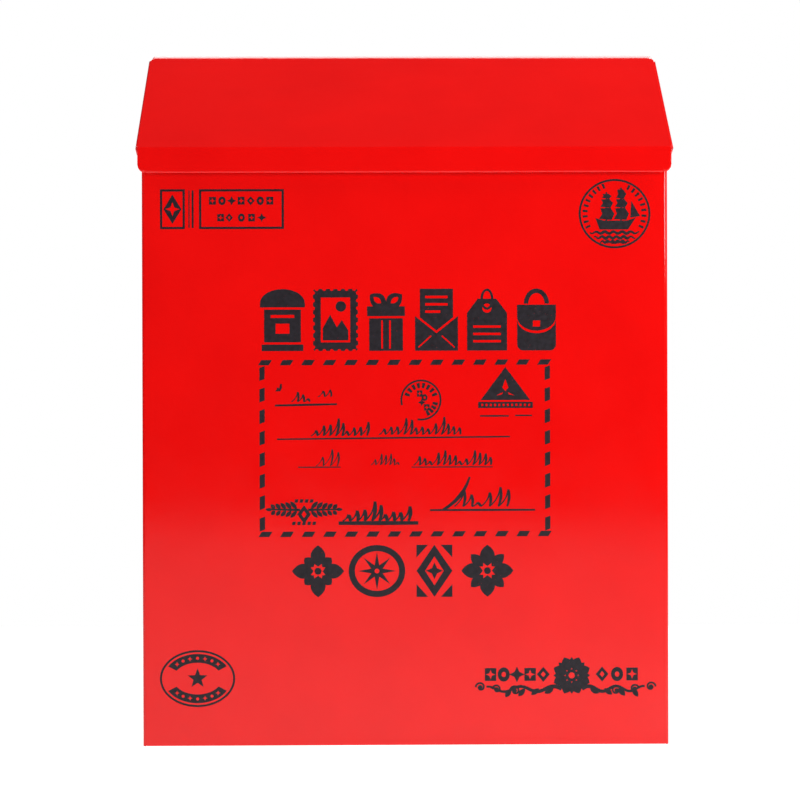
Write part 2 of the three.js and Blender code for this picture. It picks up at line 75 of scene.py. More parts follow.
HALF_LID = LID_HIGH.x
LID_AXIS = JOINT_AT["lid_hinge"]
LID_SWEEP = 1.5  # the body's rear corners are notched this far in front of the lid's axis
BACK_EDGE_CLEAR = 1.6
DOOR_AXIS = JOINT_AT["door_hinge"]
DOOR_SWEEP = 2.55  # the rear flanges end this far above the door's axis
LID_SLOPE = math.radians(35.1)
LID_TOP = 2.85
LID_BEND = 1.0
LID_REAR = 0.9
REAR_CORNER_CUT = (2.5, 4.5)
DOOR_HEM = 8
LIP_HEIGHT = 12.5
LIP_CORNER = 4.2
LIP_HEM = 4
LIP_HALF = HALF_LID - LID_BEND
FLANGE_EAR = 0.5
FLANGE_BACK = 8
FLANGE_DROP = 3
FLANGE_TAIL = 7
LID_FOLD_Y = (LID_LOW.y - LID_AXIS.y + LID_TOP * math.sin(LID_SLOPE)) / math.cos(LID_SLOPE)

INK_FILM = 0.05
INK_STEP = 0.002
INK_STEPS = 29


# ------------------------------------------------------------ material helpers
def new_material(name, metallic=0.0):
    material = bpy.data.materials.new(name)
    material.use_nodes = True
    shader = material.node_tree.nodes["Principled BSDF"]
    shader.inputs["Metallic"].default_value = metallic
    return material, material.node_tree, shader


def node(tree, kind, inputs=None, **settings):
    made = tree.nodes.new(kind)
    for key, value in settings.items():
        setattr(made, key, value)
    for key, value in (inputs or {}).items():
        made.inputs[key].default_value = value
    return made


def noise(tree, scale, detail=2.0, roughness=0.5):
    """Noise in object space, with scale in features per metre."""
    coords = node(tree, "ShaderNodeTexCoord")
    made = node(tree, "ShaderNodeTexNoise", {"Scale": scale, "Detail": detail, "Roughness": roughness})
    tree.links.new(coords.outputs["Object"], made.inputs["Vector"])
    return made.outputs["Fac"]


def ramp(tree, source, low, high, start=0.3, end=0.7):
    """Blends from low to high as source goes from start to end."""
    made = node(tree, "ShaderNodeValToRGB")
    made.color_ramp.elements[0].position = start
    made.color_ramp.elements[0].color = low
    made.color_ramp.elements[1].position = end
    made.color_ramp.elements[1].color = high
    tree.links.new(source, made.inputs["Fac"])
    return made.outputs["Color"]


def grey(value):
    return (value, value, value, 1)


def feed(tree, shader, socket, *blend):
    """Drives one of the shader's inputs with a ramp."""
    tree.links.new(ramp(tree, *blend), shader.inputs[socket])


def bump(tree, shader, layers):
    """Chains (height, distance in metres) layers into the shader's normal."""
    normal = None
    for height, distance in layers:
        made = node(tree, "ShaderNodeBump", {"Strength": 1.0, "Distance": distance})
        tree.links.new(height, made.inputs["Height"])
        if normal is not None:
            tree.links.new(normal, made.inputs["Normal"])
        normal = made.outputs["Normal"]
    tree.links.new(normal, shader.inputs["Normal"])


# ------------------------------------------------------------ materials
RED_DEEP = (0.80, 0.0011, 0.0009, 1)
RED_BRIGHT = (0.86, 0.0018, 0.0013, 1)


def red_enamel():
    """Gloss stoving enamel: slight shade drift, uneven gloss, orange peel and a faintly wavy sheet."""
    material, tree, shader = new_material("red_enamel")
    feed(tree, shader, "Base Color", noise(tree, 25, 5), RED_DEEP, RED_BRIGHT)
    feed(tree, shader, "Roughness", noise(tree, 60, 6, 0.65), grey(0.07), grey(0.12), 0.35, 0.75)
    shader.inputs["IOR"].default_value = 1.45
    waves = noise(tree, 7, 0)
    peel = noise(tree, 800, 1)
    bump(tree, shader, [(waves, 0.00012), (peel, 0.00001)])
    return material


def black_ink():
    """Screen-printed ink with a soft sheen, slightly uneven, that has rubbed through in a few flecks."""
    material, tree, shader = new_material("black_ink")
    flecks = ramp(tree, noise(tree, 1100, 3, 0.7), grey(0), grey(0.8), 0.69, 0.73)
    tint = ramp(tree, noise(tree, 420, 3), (0.010, 0.0075, 0.010, 1), (0.019, 0.015, 0.021, 1))
    mix = node(tree, "ShaderNodeMix", data_type="RGBA")
    mix.inputs["B"].default_value = (0.42, 0.004, 0.003, 1)
    tree.links.new(flecks, mix.inputs["Factor"])
    tree.links.new(tint, mix.inputs["A"])
    tree.links.new(mix.outputs["Result"], shader.inputs["Base Color"])
    feed(tree, shader, "Roughness", noise(tree, 500, 2), grey(0.30), grey(0.42))
    shader.inputs["Specular IOR Level"].default_value = 0.3
    bump(tree, shader, [(noise(tree, 1600, 2), 0.000012)])
    return material


def zinc_steel():
    """Bright zinc plate: spangled tone, fine drawing marks along x and uneven polish."""
    material, tree, shader = new_material("zinc_steel", 1.0)
    spangle = noise(tree, 160, 4, 0.6)
    feed(tree, shader, "Base Color", spangle, (0.42, 0.43, 0.44, 1), (0.66, 0.67, 0.68, 1), 0.35, 0.7)
    coords = node(tree, "ShaderNodeTexCoord")
    stretch = node(tree, "ShaderNodeMapping", {"Scale": (30, 2400, 2400)})
    marks = node(tree, "ShaderNodeTexNoise", {"Scale": 1.0, "Detail": 3.0})
    tree.links.new(coords.outputs["Object"], stretch.inputs["Vector"])
    tree.links.new(stretch.outputs["Vector"], marks.inputs["Vector"])
    feed(tree, shader, "Roughness", marks.outputs["Fac"], grey(0.28), grey(0.5))
    bump(tree, shader, [(marks.outputs["Fac"], 0.00001)])
    return material


def lock_chrome():
    """Polished nickel-chrome with hairline scuffs."""
    material, tree, shader = new_material("lock_chrome", 1.0)
    feed(tree, shader, "Base Color", noise(tree, 220, 4), (0.62, 0.62, 0.64, 1), (0.80, 0.80, 0.81, 1))
    scuffs = noise(tree, 1500, 5, 0.7)
    feed(tree, shader, "Roughness", scuffs, grey(0.08), grey(0.3), 0.45, 0.75)
    bump(tree, shader, [(scuffs, 0.000006)])
    return material


def wafer_brass():
    """Stamped brass with a little tarnish."""
    material, tree, shader = new_material("wafer_brass", 1.0)
    tarnish = noise(tree, 500, 5)
    feed(tree, shader, "Base Color", tarnish, (0.35, 0.20, 0.06, 1), (0.72, 0.50, 0.20, 1), 0.35, 0.65)
    feed(tree, shader, "Roughness", noise(tree, 900, 3), grey(0.25), grey(0.45))
    bump(tree, shader, [(noise(tree, 2500, 2), 0.000008)])
    return material


MATERIALS = {make.__name__: make() for make in (red_enamel, black_ink, zinc_steel, lock_chrome, wafer_brass)}


# ------------------------------------------------------------ making pieces
SHARP = math.radians(35)
SHEET_EDGE = 0.1
NODE_EDGE = 0.12


def new_object(name, data):
    made = bpy.data.objects.new(name, data)
    bpy.context.scene.collection.objects.link(made)
    return made


def modify(thing, kind, settings):
    modifier = thing.modifiers.new(kind.lower(), kind)
    for key, value in settings.items():
        setattr(modifier, key, value)


def smooth_faces(mesh):
    """Smooth shading, except over edges sharper than the angle above."""
    mesh.shade_smooth()
    mesh.set_sharp_from_angle(angle=SHARP)


def add_piece(name, mesh, material, body, replaces=()):
    """A finished mesh, whose points are in metres in the row frame, as a piece that rides on a body."""
    made = new_object(name, mesh)
    mesh.materials.clear()
    mesh.materials.append(MATERIALS[material])
    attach(made, body)
    if replaces:
        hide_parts(*replaces)


def settled(mesh, modifiers):
    """The mesh with these modifiers applied and its faces smooth."""
    holder = new_object("holder", mesh)
    for modifier in modifiers:
        modify(holder, *modifier)
    bpy.context.view_layer.update()
    graph = bpy.context.evaluated_depsgraph_get()
    result = bpy.data.meshes.new_from_object(holder.evaluated_get(graph))
    bpy.data.objects.remove(holder)
    smooth_faces(result)
    return result


def thickened(sheet):
    return ("SOLIDIFY", {"thickness": sheet * MM, "offset": -1, "use_even_offset": True})


def edge_round(width):
    limit = math.radians(50)
    return ("BEVEL", {"width": width * MM, "segments": 2, "limit_method": "ANGLE", "angle_limit": limit})


def grid_faces(bm, rows):
    """Quads between neighbouring rows of points in millimetres."""
    verts = [[bm.verts.new(Vector(point) * MM) for point in row] for row in rows]
    for one, two in zip(verts, verts[1:]):
        for i in range(len(one) - 1):
            bm.faces.new((one[i], one[i + 1], two[i + 1], two[i]))


def mesh_of(bm, name, weld=0.004):
    bmesh.ops.remove_doubles(bm, verts=bm.verts, dist=weld * MM)
    bmesh.ops.dissolve_degenerate(bm, edges=bm.edges, dist=weld * MM)
    mesh = bpy.data.meshes.new(name)
    bm.to_mesh(mesh)
    bm.free()
    return mesh


def spread(start, end, steps):
    """Evenly spaced values with both ends."""
    return [start + (end - start) * i / steps for i in range(steps + 1)]


def bow(x, z, rx, rz, start, end, steps=16):
    """Points on an elliptic arc in a plane, with the angles in degrees."""
    angles = [math.radians(degrees) for degrees in spread(start, end, steps)]
    return [(x + rx * math.cos(a), z + rz * math.sin(a)) for a in angles]


def arc(centre, radius, start, end, steps):
    return bow(*centre, radius, radius, start, end, steps)


def between(start, end, steps):
    """The inner points of a straight stretch."""
    return [tuple(s + (e - s) * i / steps for s, e in zip(start, end)) for i in range(1, steps)]


def align_faces(mesh, outward):
    """Turns all faces the same way, with the largest facing outward."""
    bm = bmesh.new()
    bm.from_mesh(mesh)
    bmesh.ops.recalc_face_normals(bm, faces=bm.faces)
    if max(bm.faces, key=lambda face: face.calc_area()).normal.dot(outward) < 0:
        bmesh.ops.reverse_faces(bm, faces=bm.faces)
    bm.to_mesh(mesh)
    bm.free()


def plate(outlines, low, high):
    """A flat solid between two heights, from (x, y) outlines: its edge, then its holes."""
    curve = bpy.data.curves.new("plate", "CURVE")
    curve.dimensions = "2D"
    curve.fill_mode = "BOTH"
    curve.extrude = (high - low) * MM / 2
    for outline in outlines:
        spline = curve.splines.new("POLY")
        spline.points.add(len(outline) - 1)
        for point, (x, y) in zip(spline.points, outline):
            point.co = (x * MM, y * MM, 0, 1)
        spline.use_cyclic_u = True
    holder = bpy.data.objects.new("plate", curve)
    mesh = bpy.data.meshes.new_from_object(holder)
    bpy.data.objects.remove(holder)
    mesh.transform(Matrix.Translation((0, 0, (low + high) / 2 * MM)))
    bm = bmesh.new()
    bm.from_mesh(mesh)
    bpy.data.meshes.remove(mesh)
    return mesh_of(bm, "plate", weld=0.001)


# ------------------------------------------------------------ body
def slope_height(y, distance):
    """Height of a plane parallel to the lid, at a distance from the hinge axis."""
    return LID_AXIS.z + (distance + (y - LID_AXIS.y) * math.sin(LID_SLOPE)) / math.cos(LID_SLOPE)


def body_plan():
    """The outer face of the body seen from above, from the left rear flange round to the right one."""
    rear = WALL_Y - SHEET - 0.1
    left = [(-HALF_BODY + REAR_FLANGE, rear)]
    left += arc((-HALF_BODY + REAR_BEND, rear - REAR_BEND), REAR_BEND, 90, 180, 4)
    left += between(left[-1], (-HALF_BODY, FRONT_Y + BODY_BEND), 12)
    left += arc((-HALF_BODY + BODY_BEND, FRONT_Y + BODY_BEND), BODY_BEND, 180, 270, 8)
    right = [(-x, y) for x, y in reversed(left)]
    return left + between(left[-1], right[0], 24) + right


def body_top(y):
    """The sloping upper edge, notched behind for the lid's hinge."""
    edge = slope_height(y, EDGE_UNDER_LID)
    return min(edge, LID_AXIS.z - BACK_EDGE_CLEAR) if y > LID_AXIS.y - LID_SWEEP else edge


def body_low(x, y):
    """Where the sheet ends below: over its hem, square at the corners, and above the door's hinge behind."""
    if y > FRONT_Y + BODY_BEND + 1 and abs(x) < HALF_BODY - REAR_BEND + 0.01:
        return DOOR_AXIS.z + DOOR_SWEEP
    hemmed = abs(y - FRONT_Y) < 1e-3 or (abs(abs(x) - HALF_BODY) < 1e-3 and y < WALL_Y - 4)
    return HEM_RADIUS if hemmed else 0.0


def body_sheet():
    """One folded sheet, with a rolled hem along the lower edge of the front and of each side."""
    bm = bmesh.new()
    plan = body_plan()
    levels = 24
    rows = [[(x, y, body_low(x, y)) for x, y in plan]]
    start = DOOR_AXIS.z + DOOR_SWEEP + 1
    for i in range(levels + 1):
        rows.append([(x, y, start + i / levels * (body_top(y) - start)) for x, y in plan])
    grid_faces(bm, rows)
    hem_turn = arc((HEM_RADIUS, HEM_RADIUS), HEM_RADIUS, 180, 360, 8) + [(2 * HEM_RADIUS, BODY_HEM)]

    def hem(stretch, inward):
        hem_rows = []
        for inset, height in reversed(hem_turn):
            hem_rows.append([(x + inward[0] * inset, y + inward[1] * inset, height) for x, y in stretch])
        grid_faces(bm, hem_rows)

    hem([p for p in plan if abs(p[1] - FRONT_Y) < 1e-3], (0, 1))
    hem([p for p in plan if abs(p[0] + HALF_BODY) < 1e-3 and p[1] < WALL_Y - 4], (1, 0))
    hem([p for p in plan if abs(p[0] - HALF_BODY) < 1e-3 and p[1] < WALL_Y - 4], (-1, 0))
    bm.normal_update()
    mesh = settled(mesh_of(bm, "body_sheet"), [thickened(SHEET), edge_round(SHEET_EDGE)])
    add_piece("body_sheet", mesh, "red_enamel", "root", ["body_shell"])


# ------------------------------------------------------------ lid
def from_lid(x, y, z):
    """A point of the lid's own frame: x along the hinge, -y down the slope, z square to the lid."""
    sin, cos = math.sin(LID_SLOPE), math.cos(LID_SLOPE)
    return (x, LID_AXIS.y + y * cos - z * sin, LID_AXIS.z + y * sin + z * cos)


def lid_flange_rows():
    """(upper, lower) points in (y, z) down the flange's length, from the fold to the rear corner."""
    sin, cos = math.sin(LID_SLOPE), math.cos(LID_SLOPE)
    ear = (LID_FOLD_Y - FLANGE_EAR * sin, LID_TOP - FLANGE_EAR * cos)
    heel_y = LID_FOLD_Y + FLANGE_BACK * cos - FLANGE_DROP * sin
    heel = (heel_y, LID_TOP - FLANGE_BACK * sin - FLANGE_DROP * cos)
    tail = (-FLANGE_TAIL, heel[1])
    upper_z = LID_TOP - LID_BEND
    start = LID_FOLD_Y + 0.7
    rear = LID_REAR - REAR_CORNER_CUT[1] - 0.3
    lower = [ear, heel] + between(heel, tail, 14) + [tail, (rear - 0.3, upper_z - 0.6)]
    upper = [(start, upper_z)]
    for i in range(1, len(lower) - 1):
        upper.append((start + (rear - 3.5 - start) * (i + 0.4) / (len(lower) - 1.6), upper_z))
    upper.append((rear, upper_z))
    return list(zip(upper, lower))


def lid_sheet():
    """One sheet: sloping top, upright lip with rounded corners and a rolled hem, a flange down each side."""
    bm = bmesh.new()
    cut_x, cut_y = REAR_CORNER_CUT
    flange = lid_flange_rows()
    flat = [-LIP_HALF + LIP_CORNER * (1 - math.cos(math.radians(a))) for a in (0, 25, 45, 62, 77, 90)]
    flat += spread(flat[-1], -flat[-1], 24)[1:-1] + [-x for x in reversed(flat)]
    bend = arc((-LIP_HALF, LID_TOP - LID_BEND), LID_BEND, 180, 90, 6)[:-1]
    rows = []
    for upper, lower in flange:
        y = upper[0]
        down = [lower] + [tuple(l + (u - l) * k / 3 for l, u in zip(lower, upper)) for k in (1, 2)]
        side = [(-HALF_LID, py, pz) for py, pz in down] + [(x, y, z) for x, z in bend]
        rows.append(side + [(x, y, LID_TOP) for x in flat] + [(-x, py, pz) for x, py, pz in side[::-1]])
    grid_faces(bm, [[from_lid(*p) for p in row] for row in rows])
    first, last = flange[0][0][0], flange[-1][0][0]
    corner = HALF_LID - cut_x
    rear_row = [(max(-corner, min(corner, x)), LID_REAR, LID_TOP) for x in flat]
    grid_faces(bm, [
        [from_lid(x, last, LID_TOP) for x in flat],
        [from_lid(*p) for p in rear_row],
    ])

    turn = 90 - math.degrees(LID_SLOPE)
    reach = LID_BEND * math.tan(math.radians(turn / 2))
    front_y, fold_z = from_lid(0, LID_FOLD_Y, LID_TOP)[1:]
    centre = (front_y + LID_BEND, fold_z - reach)
    fold = arc(centre, LID_BEND, 180 - turn, 180, 6)
    lip_rows = [[from_lid(x, first, LID_TOP) for x in flat]]
    lip_rows += [[(x, y, z) for x in flat] for y, z in fold]
    lip_low = fold_z - LIP_HEIGHT + HEM_RADIUS

    def lip_edge(x):
        inset = max(0.0, abs(x) - (LIP_HALF - LIP_CORNER))
        rise = LIP_CORNER - math.sqrt(max(0.0, LIP_CORNER ** 2 - inset ** 2))
        return lip_low + rise - (HEM_RADIUS if inset > 0 else 0) * min(1.0, inset / 0.4)

    top = fold[-1][1]
    for k in range(1, 7):
        lip_rows.append([(x, front_y, top + (lip_edge(x) - top) * k / 6) for x in flat])
    grid_faces(bm, lip_rows)
    hemmed = [x for x in flat if abs(x) <= LIP_HALF - LIP_CORNER + 1e-6]
    turned = arc((front_y + HEM_RADIUS, lip_low), HEM_RADIUS, 180, 360, 8)
    turned.append((front_y + 2 * HEM_RADIUS, fold_z - LIP_HEIGHT + LIP_HEM))
    grid_faces(bm, [[(x, y, z) for x in hemmed] for y, z in turned])
    mesh = mesh_of(bm, "lid_sheet")
    align_faces(mesh, Vector((0, -math.sin(LID_SLOPE), math.cos(LID_SLOPE))))
    mesh = settled(mesh, [thickened(SHEET), edge_round(SHEET_EDGE)])
    add_piece("lid_sheet", mesh, "red_enamel", "lid", ["lid_cover"])


# ------------------------------------------------------------ printed front
def add_print(name, shapes):
    """Ink shapes, each a list of outlines, as one piece; strokes that cross differ in thickness."""
    bm = bmesh.new()
    for i, outlines in enumerate(shapes):
        mesh = plate(outlines, 0, INK_FILM + INK_STEP * (i % INK_STEPS))
        bm.from_mesh(mesh)
        bpy.data.meshes.remove(mesh)
    mesh = bpy.data.meshes.new(name)
    bm.to_mesh(mesh)
    bm.free()
    mesh.transform(Matrix.Translation((0, FRONT_Y * MM, 0)) @ Matrix.Rotation(math.radians(90), 4, "X"))
    add_piece(name, mesh, "black_ink", "root")


def rectangle(x0, x1, z0, z1):
    return [(x0, z0), (x1, z0), (x1, z1), (x0, z1)]


def lozenge(x, z, half_width, half_height):
    return [(x, z + half_height), (x + half_width, z), (x, z - half_height), (x - half_width, z)]


def slanted(x, z, width, height, lean):
    """A parallelogram about (x, z)."""
    w, h = width / 2, height / 2
    return [(x - w - lean, z - h), (x + w - lean, z - h), (x + w + lean, z + h), (x - w + lean, z + h)]


def ellipse(x, z, rx, rz, steps=64):
    return bow(x, z, rx, rz, 0, 360, steps)[:-1]


def ring(x, z, rx, rz, width, steps=64):
    return [ellipse(x, z, rx, rz, steps), ellipse(x, z, rx - width, rz - width, steps)]


def frame_of(x0, x1, z0, z1, width):
    return [rectangle(x0, x1, z0, z1), rectangle(x0 + width, x1 - width, z0 + width, z1 - width)]


def star(x, z, outer, inner, points=5):
    outline = []
    for i in range(2 * points):
        radius = outer if i % 2 == 0 else inner
        angle = math.pi / 2 + math.pi * i / points
        outline.append((x + radius * math.cos(angle), z + radius * math.sin(angle)))
    return outline


def sector(x, z, inner, outer, start, end, steps=12):
    """Part of a ring, with the angles in degrees."""
    return arc((x, z), outer, start, end, steps) + arc((x, z), inner, end, start, steps)


def ribbon(points, widths):
    """A stroke along points whose width runs through the list of widths."""
    left, right = [], []
    for i, (x, z) in enumerate(points):
        before, after = points[max(i - 1, 0)], points[min(i + 1, len(points) - 1)]
        dx, dz = after[0] - before[0], after[1] - before[1]
        length = math.hypot(dx, dz) or 1.0
        place = i / (len(points) - 1) * (len(widths) - 1)
        low = min(int(place), len(widths) - 2)
        half = (widths[low] + (widths[low + 1] - widths[low]) * (place - low)) / 2
        left.append((x - dz / length * half, z + dx / length * half))
        right.append((x + dz / length * half, z - dx / length * half))
    return left + right[::-1]


def bent(start, end, sag, steps=6):
    """Points from start to end, bowed to the left of the way by sag times its length."""
    dx, dz = end[0] - start[0], end[1] - start[1]
    points = []
    for i in range(steps + 1):
        t = i / steps
        out = 4 * sag * t * (1 - t)
        points.append((start[0] + dx * t - dz * out, start[1] + dz * t + dx * out))
    return points


def scribble(x0, x1, z, height, weight, phase):
    """A pen wave in place of handwriting: leaning thin upstrokes and thick downstrokes of uneven height."""
    count = max(2, round((x1 - x0) / (height * 0.3)))
    pitch = (x1 - x0) / count
    strokes = []
    for i in range(count):
        x = x0 + i * pitch
        rise = height * (0.5 + 0.24 * math.sin(1.1 * i + phase) + 0.12 * math.sin(2.3 * i))
        top = (x + pitch * 0.5 + 0.34 * rise, z + rise)
        strokes.append([ribbon(bent((x, z), top, -0.1), [weight * 0.45, weight * 0.4, weight * 0.7])])
        strokes.append([ribbon(bent(top, (x + pitch, z), 0.08), [weight * 0.7, weight, weight * 0.6])])
    return strokes


def rule(x0, x1, z, weight, tilt=0.0):
    return [ribbon([(x0, z - tilt), ((x0 + x1) / 2, z), (x1, z + tilt)], [weight, weight * 1.2, weight])]


def type_mark(kind, x, z, r):
    """A small printer's mark: a star, a holed disc, a holed lozenge or a block with a star cut out."""
    if kind == "star":
        return [star(x, z, r * 1.1, r * 0.5, 4)]
    if kind == "disc":
        return [ellipse(x, z, r * 0.85, r, 24), ellipse(x, z, r * 0.32, r * 0.38, 16)]
    if kind == "lozenge":
        return [lozenge(x, z, r * 0.9, r * 1.05), lozenge(x, z, r * 0.36, r * 0.42)]
    return [rectangle(x - r * 0.8, x + r * 0.8, z - r * 0.9, z + r * 0.9), star(x, z, r * 0.7, r * 0.26, 4)]


MARKS = ("block", "disc", "star", "block", "lozenge", "disc", "block", "star")


def mark_row(x0, x1, z, r, count, first=0):
    """Printer's marks spread evenly between two places."""
    places = enumerate(spread(x0, x1, count - 1), first)
    return [type_mark(MARKS[i % len(MARKS)], x, z, r) for i, x in places]


def print_border():
    """An airmail border of slanted dashes."""
    left, right, low, high = -72, 71.5, 102.7, 189.8
    across, up, thick = 14, 8, 2.6
    shapes = []
    pitch = (right - left - 6) / (across - 1)
    for i in range(across):
        for z in (low + thick / 2, high - thick / 2):
            shapes.append([slanted(left + 3 + i * pitch, z, 5.2, thick, 0.8)])
    rise = (high - low - 13) / (up - 1)
    for i in range(up):
        for x in (left + 1.5, right - 1.5):
            z = low + 6.5 + i * rise
            shapes.append([[(x - 1.3, z - 3.8), (x + 1.3, z - 2.8), (x + 1.3, z + 3.6), (x - 1.3, z + 2.6)]])
    return shapes


def print_boxes():
    """Top left: a small box with a holed lozenge and a long franking box, with a double rule between them."""
    low, high = 254.3, 273.9
    shapes = [frame_of(-120.4, -108.2, low, high, 1.1), frame_of(-101.2, -59.5, low, high, 1.1)]
    for left, right in ((-106.4, -105.9), (-104.8, -103.9)):
        shapes.append([rectangle(left, right, low + 0.6, high - 0.6)])
    x, z = -114.3, (low + high) / 2
    shapes.append([lozenge(x, z, 4.4, 7.2), star(x, z, 3.6, 1.3, 4)])
    shapes += mark_row(-94.6, -66.4, 268.2, 2.1, 7)
    shapes += mark_row(-90.6, -86.4, 259.9, 2.0, 2, 3)
    shapes += mark_row(-80.4, -70.4, 259.9, 2.0, 3, 5)
    return shapes


def sail(x, z0, z1, half):
    """A square sail that the wind fills to the right."""
    return [(x - half, z0), (x + half, z0 - 0.5), (x + half + 1.3, (z0 + z1) / 2), (x + half * 0.8, z1 + 0.3),
            (x - half * 0.8, z1), (x - half * 0.5, (z0 + z1) / 2)]


def print_seal():
    """Top right: a round seal with a sailing ship over water, and short strokes round its left and right."""
    x, z = 103.4, 261.5
    shapes = [ring(x, z, 17.7, 17.1, 1.0)]
    for start, end, count in ((112, 206, 10), (-26, 62, 9)):
        for a in spread(start, end, count - 1):
            shapes.append([sector(x, z, 13.3, 15.8, a - 2.2, a + 2.2, 3)])
    hull = [(-9.4, -2.2), (-7.4, -7.8), (6.6, -7.8), (10.6, -1.8), (6.4, -3.4), (-5.4, -3.4)]
    shapes.append([[(x + dx, z + dz) for dx, dz in hull]])
    for mast, top in ((-4.0, 10.6), (3.2, 12.8)):
        shapes.append([rectangle(x + mast - 0.35, x + mast + 0.35, z - 3.6, z + top)])
        for low, high, half in ((-2.6, 2.6, 3.1), (3.4, 7.0, 2.5), (7.8, top - 1.0, 1.8)):
            shapes.append([sail(x + mast - 0.5, z + low, z + high, half)])
    shapes.append([[(x + 7.8, z - 2.0), (x + 12.6, z - 1.2), (x + 8.2, z + 6.4)]])
    for row, half in ((-9.3, 12.2), (-11.7, 10.2), (-13.9, 7.2)):
        wave = [(x - half + t * half / 20, z + row + 0.5 * math.sin(t * 0.9 + row)) for t in range(41)]
        shapes.append([ribbon(wave, [0.6, 1.5, 1.3, 1.6, 0.6])])
    return shapes


def pillar_box(cx, half, low, high):
    """A domed cap, a body with a slot and a notice plate, and a plinth."""
    cap = bow(cx, high - 7, half, 7, 0, 180) + [(cx - half, high - 9), (cx + half, high - 9)]
    body = rectangle(cx - half + 2, cx + half - 2, low + 4.3, high - 10.1)
    slot = rectangle(cx - 5.8, cx + 5.8, high - 14.2, high - 12.7)
    plate = rectangle(cx - 3.4, cx + 3.4, high - 22, high - 17)
    return [[cap], [body, slot, plate], [rectangle(cx - half + 0.8, cx + half - 0.8, low, low + 3.2)]]


def perforated(x0, x1, z0, z1, across, up):
    """A stamp's outline, with half-round bites along its edges."""
    radius = 1.0
    edge = []
    corners = [(x0, z0), (x1, z0), (x1, z1), (x0, z1)]
    for (ax, az), (bx, bz), bites in zip(corners, corners[1:] + corners[:1], (across, up, across, up)):
        span = math.hypot(bx - ax, bz - az)
        ux, uz = (bx - ax) / span, (bz - az) / span
        for i in range(bites):
            centre = (i + 0.5) * span / bites
            for k in range(5):
                a = math.pi * k / 4
                along, inward = centre - radius * math.cos(a), radius * math.sin(a)
                edge.append((ax + ux * along - uz * inward, az + uz * along + ux * inward))
    return edge


def picture_stamp(cx, half, low, high):
    """A perforated stamp with a sun over mountains in its window."""
    left, right, base, top = cx - half + 3.8, cx + half - 3.8, low + 4.2, high - 4.2
    hills = [(left + 1, base + 1), (right - 1, base + 1), (right - 1, base + 6), (right - 4.2, base + 11),
             (right - 6.6, base + 7.4), (left + 4.6, base + 13.6), (left + 1, base + 7)]
    stamp = [perforated(cx - half, cx + half, low, high, 6, 8), rectangle(left, right, base, top)]
    return [stamp, [hills], [ellipse(right - 4.6, top - 4.4, 2.6, 2.6, 28)]]


def parcel(cx, half, low, high):
    """A lidded parcel tied with a ribbon and a bow."""
    lid_high, lid_low = high - 8.6, high - 13.4
    shapes = [[rectangle(cx - half, cx + half, lid_low, lid_high)]]
    box = [rectangle(cx - half + 1, cx + half - 1, low, lid_low - 1.1)]
    for side in (-1, 1):
        near, far = cx + side * 1.5, cx + side * 2.4
        box.append(rectangle(min(near, far), max(near, far), low + 1, lid_low - 2.1))
        tilt = 90 - side * 52
        loop = leaf(cx, high - 8.9, 10, 7.4, tilt)
        a = math.radians(tilt)
        shapes.append([loop, leaf(cx + 3 * math.cos(a), high - 8.9 + 3 * math.sin(a), 4.8, 2.6, tilt)])
    return shapes + [box]


def opened_letter(cx, half, low, high):
    """An envelope's pocket with a written sheet standing in it."""
    shoulder, notch, inset = low + 17, low + 8.6, 2.4
    pocket = [(cx - half, low), (cx + half, low), (cx + half, shoulder), (cx, notch), (cx - half, shoulder)]
    seam = [ribbon([(cx + side * (half - 1.6), low + 1.6), (cx + side * 2.6, notch - 1.2)], [0.7, 0.7])
            for side in (-1, 1)]
    side_z = shoulder - inset * (shoulder - notch) / half + 1.3
    sheet = [(cx - half + inset, side_z), (cx, notch + 1.3), (cx + half - inset, side_z),
             (cx + half - inset, high), (cx - half + inset, high)]
    lines = [rectangle(cx - half + 5, cx + half - reach, high - drop - 1.3, high - drop)
             for drop, reach in ((3.4, 5), (7.0, 5), (10.6, 8.6))]
    return [[pocket, *seam], [sheet, *lines]]


def luggage_label(cx, half, low, high):
    """A label with a string through its eye."""
    top = high - 5
    tag = [(cx - half, low), (cx + half, low), (cx + half, top - 7), (cx + 4.6, top), (cx - 4.6, top),
           (cx - half, top - 7)]
    lines = [rectangle(cx - half + 3, cx + half - 3, low + z, low + z + 1.2) for z in (4, 7.6, 11.2)]
    return [[tag, ellipse(cx, top - 4.6, 2.3, 2.3, 28), *lines], ring(cx, top - 0.2, 3.2, 5.2, 1.2)]


def satchel(cx, half, low, high):
    """A postbag with a handle, a round flap and a buckle."""
    top, waist, corner = high - 7.4, (low + high) / 2 + 1.5, 3
    handle = bow(cx, top, 6.2, 7.4, 0, 180) + bow(cx, top, 4, 5.2, 180, 0)
    flap = [(cx - half, top - 0.6), (cx + half, top - 0.6)] + bow(cx, waist, half, 7, 0, -180)
    bag = bow(cx, waist - 1.3, half, 7, 180, 360)
    bag += bow(cx + half - corner, low + corner, corner, corner, 0, -90, 6)
    bag += bow(cx - half + corner, low + corner, corner, corner, -90, -180, 6)
    return [[handle], [flap, rectangle(cx - 1.8, cx + 1.8, waist - 5, waist - 2)], [bag]]


def print_pictograms():
    """A row of six heavy pictograms to do with the post."""
    low, high = 194.2, 224.7
    spans = (
        (pillar_box, -71.4, -49.3), (picture_stamp, -45.3, -23.2), (parcel, -18.7, -0.1),
        (opened_letter, 4.9, 26.0), (luggage_label, 30.5, 50.2), (satchel, 55.2, 74.3),
    )
    shapes = []
    for draw, x0, x1 in spans:
        shapes += draw((x0 + x1) / 2, (x1 - x0) / 2, low, high)
    return shapes


